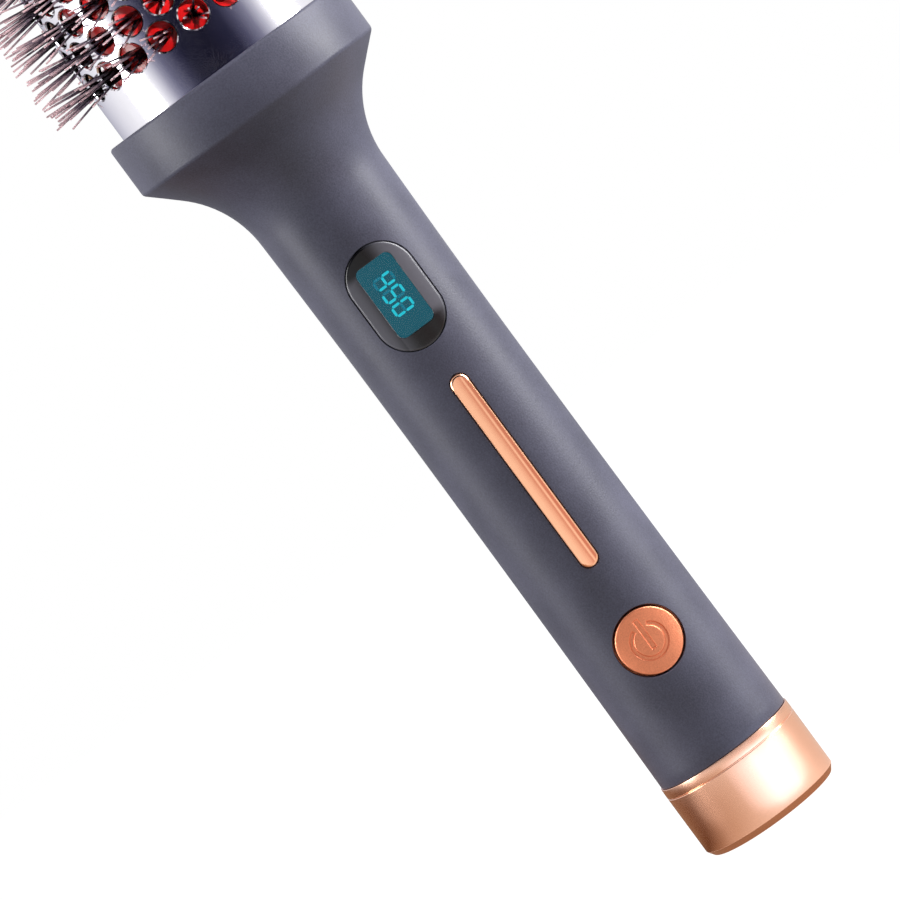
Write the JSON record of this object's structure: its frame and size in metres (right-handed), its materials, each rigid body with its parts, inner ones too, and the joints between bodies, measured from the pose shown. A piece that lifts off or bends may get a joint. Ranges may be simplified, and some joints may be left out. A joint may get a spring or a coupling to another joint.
{
  "type": "heated round hair brush",
  "caption": "Cordless heated round hair brush with a perforated barrel, bristle tufts, flared neck, slim handle, lit display, power button and charging inlet.",
  "frame": {"origin": "centre of the flat end of the butt cap, on which the brush stands", "axes": "+Z along the brush from the butt to the cool tip; display and button face -Y; +X is to the right as seen from the display side"},
  "size_m": [0.0718, 0.0718, 0.2866],
  "materials": {
    "housing_plastic": "satin slate grey",
    "rose_metal": "rose gold metallic",
    "barrel_metal": "polished dark",
    "core_lacquer": "glossy red",
    "bristle_nylon": "translucent dark mauve",
    "bezel_plastic": "glossy dark grey",
    "lens_clear": "clear",
    "display_glass": "dark teal, lit",
    "diffuser": "milky",
    "inner_plastic": "plain moulded",
    "heat_plastic": "heat-resistant, dark",
    "tip_plastic": "gloss black",
    "circuit_board": "green solder mask",
    "component_black": "moulded",
    "steel": "plain",
    "nickel": "nickel plated",
    "cell_wrap": "shrink sleeve",
    "heater_aluminium": "extruded",
    "ceramic": "fired",
    "lead_insulation": "silicone"
  },
  "bodies": {
    "brush": {"front_housing": "housing_plastic", "rear_housing": "housing_plastic", "base_screw": "steel", "butt_cap": "rose_metal", "charge_socket": "steel", "socket_tongue": "component_black", "charge_board": "circuit_board", "battery_cradle": "inner_plastic", "battery_cell_1": "cell_wrap", "battery_cell_2": "cell_wrap", "battery_tabs": "nickel", "control_board": "circuit_board", "board_screws": "steel", "control_chip": "component_black", "heater_mosfets": "component_black", "lead_terminal": "inner_plastic", "charge_leads": "lead_insulation", "tact_switch": "component_black", "display_holder": "inner_plastic", "display_backlight": "diffuser", "display_panel": "display_glass", "display_lens": "lens_clear", "display_bezel": "bezel_plastic", "trim_strip": "rose_metal", "neck_flange": "heat_plastic", "flange_screws": "steel", "barrel": "barrel_metal", "tuft_core": "core_lacquer", "heater_body": "heater_aluminium", "ptc_plates": "ceramic", "electrode_plates": "nickel", "heater_leads": "lead_insulation", "thermal_fuse": "nickel", "temperature_sensor": "ceramic", "cool_tip": "tip_plastic", "tuft_row_01": "bristle_nylon", "tuft_row_02": "bristle_nylon", "tuft_row_03": "bristle_nylon", "tuft_row_04": "bristle_nylon", "tuft_row_05": "bristle_nylon", "tuft_row_06": "bristle_nylon", "tuft_row_07": "bristle_nylon", "tuft_row_08": "bristle_nylon", "tuft_row_09": "bristle_nylon", "tuft_row_10": "bristle_nylon"},
    "button": {"power_button": "rose_metal", "switch_plunger": "inner_plastic"}
  },
  "joints": [
    {"name": "power_button_press", "type": "slide", "parent": "brush", "child": "button", "axis": [0, 1, 0], "range_m": [0, 0.0005], "stiffness_N_per_m": 1500}
  ]
}
